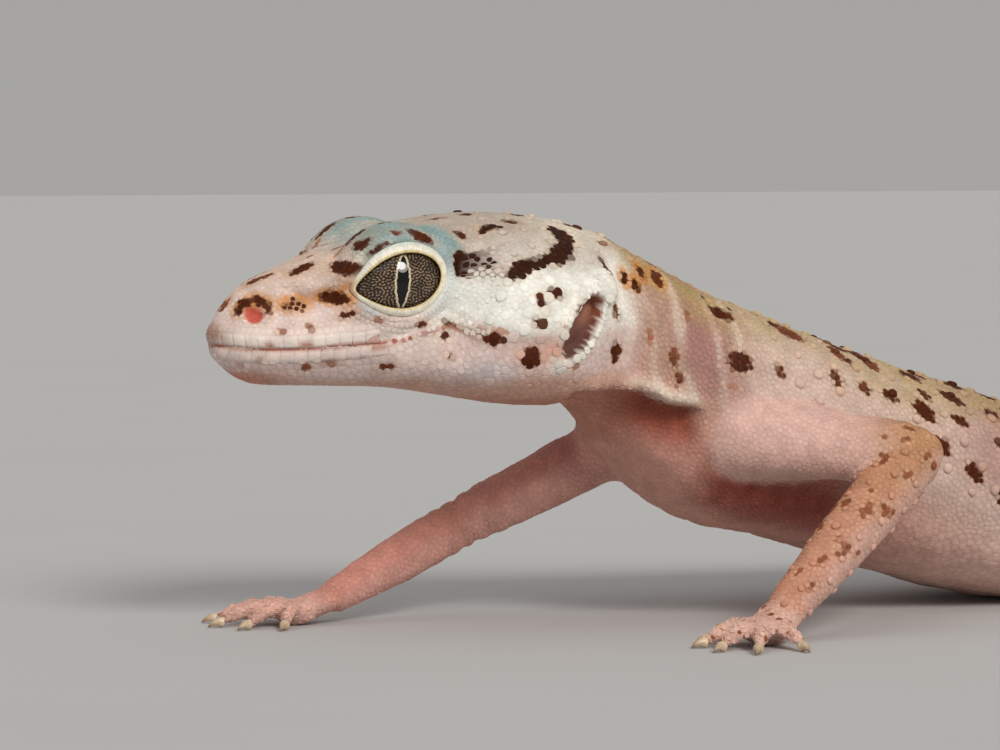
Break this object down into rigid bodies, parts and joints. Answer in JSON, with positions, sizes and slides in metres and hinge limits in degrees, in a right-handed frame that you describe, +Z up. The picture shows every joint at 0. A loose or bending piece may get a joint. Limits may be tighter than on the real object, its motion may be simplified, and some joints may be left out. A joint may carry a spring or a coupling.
{
  "type": "leopard gecko",
  "caption": "Life-size leopard gecko as a still museum model: chest raised on its forelimbs, head turned a little aside, belly and fat ringed tail resting on the floor.",
  "frame": {"origin": "bottom centre of the bounding box, on the floor that the animal rests on", "axes": "+Z up, the head points to -Y and the tail to +Y, the animal's left side is at +X"},
  "size_m": [0.0748, 0.1644, 0.0298],
  "materials": {
    "skin": "matt, finely beaded scales, cream white to pale yellow with dark brown spots",
    "eye": "wet gloss, dark brown iris veined with cream and an upright slit pupil",
    "eyelid": "soft satin, cream-white rim of fine scales",
    "eardrum": "thin smooth mauve skin at the bottom of the ear",
    "claw": "satin horn, pale brown"
  },
  "bodies": {
    "root": {"belly": "skin", "chest": "skin", "claw_foot_left_1": "claw", "claw_foot_left_2": "claw", "claw_foot_left_3": "claw", "claw_foot_left_4": "claw", "claw_foot_left_5": "claw", "claw_foot_right_1": "claw", "claw_foot_right_2": "claw", "claw_foot_right_3": "claw", "claw_foot_right_4": "claw", "claw_foot_right_5": "claw", "claw_hand_left_1": "claw", "claw_hand_left_2": "claw", "claw_hand_left_3": "claw", "claw_hand_left_4": "claw", "claw_hand_left_5": "claw", "claw_hand_right_1": "claw", "claw_hand_right_2": "claw", "claw_hand_right_3": "claw", "claw_hand_right_4": "claw", "claw_hand_right_5": "claw", "eardrum_left": "eardrum", "eardrum_right": "eardrum", "eye_left": "eye", "eye_right": "eye", "eyelid_left": "eyelid", "eyelid_right": "eyelid", "foot_left": "skin", "foot_right": "skin", "forearm_left": "skin", "forearm_right": "skin", "hand_left": "skin", "hand_right": "skin", "head": "skin", "hips": "skin", "jaw": "skin", "neck": "skin", "shank_left": "skin", "shank_right": "skin", "tail_base": "skin", "tail_middle": "skin", "tail_tip": "skin", "thigh_left": "skin", "thigh_right": "skin", "upper_arm_left": "skin", "upper_arm_right": "skin"}
  },
  "joints": []
}
